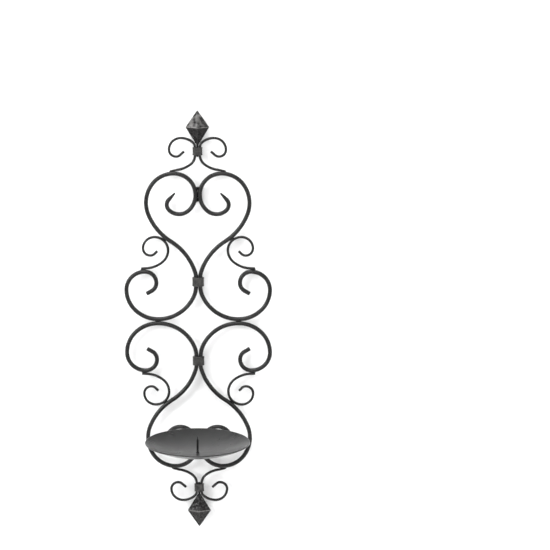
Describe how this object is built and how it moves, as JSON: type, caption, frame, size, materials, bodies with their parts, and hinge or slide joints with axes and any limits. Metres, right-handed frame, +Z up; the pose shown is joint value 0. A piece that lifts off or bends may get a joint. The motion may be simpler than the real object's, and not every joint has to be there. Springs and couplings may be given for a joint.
{
  "type": "wall sconce candle holder",
  "caption": "Tall wrought-iron wall sconce: flat frame of mirrored scrolls with diamond finials, carrying a shallow round candle bowl with a pricket.",
  "frame": {"origin": "on the wall plane, at the centre of the hanger keyhole's round hole", "axes": "+Z up the wall, +X to the right of a person facing the sconce, -Y away from the wall towards that person"},
  "size_m": [0.1382, 0.1093, 0.4],
  "materials": {
    "bar_iron": "satin black paint over hammered round bar",
    "wire_iron": "satin black paint over drawn round wire",
    "collar_iron": "satin black paint over wrapped strip",
    "finial_iron": "satin black paint over forged faces, rubbed grey on the edges",
    "bowl_sheet": "satin charcoal paint on pressed sheet",
    "pricket_iron": "satin black paint",
    "strap_iron": "satin black paint on flat strip",
    "weld_metal": "rough weld metal under satin black paint"
  },
  "bodies": {
    "root": {"scroll_bar_upper_right": "bar_iron", "scroll_bar_upper_left": "bar_iron", "scroll_bar_lower_right": "bar_iron", "scroll_bar_lower_left": "bar_iron", "side_scroll_upper_right": "wire_iron", "side_scroll_upper_left": "wire_iron", "side_scroll_lower_right": "wire_iron", "side_scroll_lower_left": "wire_iron", "finial_scroll_upper_right": "wire_iron", "finial_scroll_upper_left": "wire_iron", "finial_scroll_lower_right": "wire_iron", "finial_scroll_lower_left": "wire_iron", "bar_collar_upper": "collar_iron", "bar_collar_lower": "collar_iron", "finial_collar_upper": "collar_iron", "finial_collar_lower": "collar_iron", "finial_upper": "finial_iron", "finial_lower": "finial_iron", "candle_plate": "bowl_sheet", "pricket": "pricket_iron", "support_arm": "strap_iron", "hanger_strap": "strap_iron", "weld_beads": "weld_metal"}
  },
  "joints": []
}
